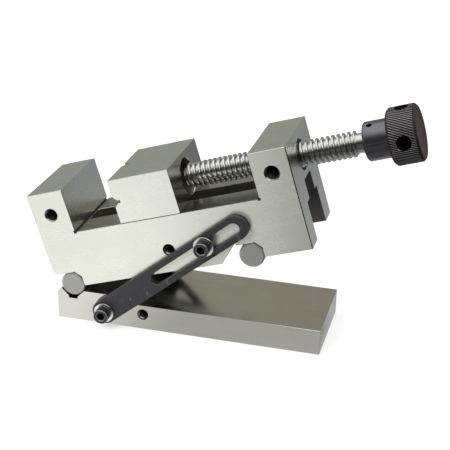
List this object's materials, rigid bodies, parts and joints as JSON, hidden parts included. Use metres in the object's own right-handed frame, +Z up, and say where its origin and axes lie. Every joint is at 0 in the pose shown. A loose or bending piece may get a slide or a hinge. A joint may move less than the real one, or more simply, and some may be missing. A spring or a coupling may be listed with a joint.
{
  "type": "sine vise",
  "caption": "Ground steel toolmaker's vise on sine rollers, hinged on a base plate, with slotted lock links, a jaw on a screw spindle and a black knurled knob.",
  "frame": {"origin": "centre of the base plate's flat underside", "axes": "+X along the base from the hinge end to the knob end, +Z up, so the jaw's side holes are on the -Y side"},
  "size_m": [0.1983, 0.0664, 0.1283],
  "materials": {
    "ground": "surface-ground tool steel",
    "bright": "hardened steel, turned or ground bright",
    "zinc": "bright plated steel",
    "black": "blackened steel"
  },
  "bodies": {
    "base": {"base_plate": "ground", "link_pivot_screws": "black", "link_pivot_washers": "zinc"},
    "vise": {"vise_body": "ground", "hinge_roller": "bright", "hinge_roller_screws": "black", "sine_roller": "bright", "sine_roller_screws": "black", "link_clamp_screws": "black", "link_clamp_washers": "zinc"},
    "jaw": {"moving_jaw": "ground", "jaw_keeper": "ground", "keeper_screws": "black", "spindle_pins": "bright", "thrust_ball": "bright"},
    "spindle": {"spindle": "bright", "spindle_knob": "black", "knob_pin": "black"},
    "front_link": {"front_link_bar": "black"},
    "rear_link": {"rear_link_bar": "black"}
  },
  "joints": [
    {"name": "sine_tilt", "type": "hinge", "parent": "base", "child": "vise", "pos_m": [-0.06165, 0, 0.02025], "axis": [0, -1, 0], "range_deg": [-17.46, 27.54]},
    {"name": "front_link_pivot", "type": "hinge", "parent": "base", "child": "front_link", "pos_m": [-0.04325, -0.0258, 0.0084], "axis": [0, -1, 0], "range_deg": [-18.66, 29.38]},
    {"name": "rear_link_pivot", "type": "hinge", "parent": "base", "child": "rear_link", "pos_m": [-0.04325, 0.0258, 0.0084], "axis": [0, -1, 0], "range_deg": [-18.66, 29.38]},
    {"name": "jaw_slide", "type": "slide", "parent": "vise", "child": "jaw", "axis": [0.9539, 0, 0.3], "range_m": [-0.0259, 0.0412]},
    {"name": "spindle_turn", "type": "hinge", "parent": "jaw", "child": "spindle", "pos_m": [0.01376, 0, 0.08511], "axis": [0.9539, 0, 0.3], "range_deg": [-3460, 5500]}
  ],
  "couplings": [
    {"joint": "front_link_pivot", "follows": "sine_tilt", "ratio": 1.0632},
    {"joint": "rear_link_pivot", "follows": "sine_tilt", "ratio": 1.0632},
    {"joint": "spindle_turn", "follows": "jaw_slide", "rad_per_m": 2327.1}
  ]
}
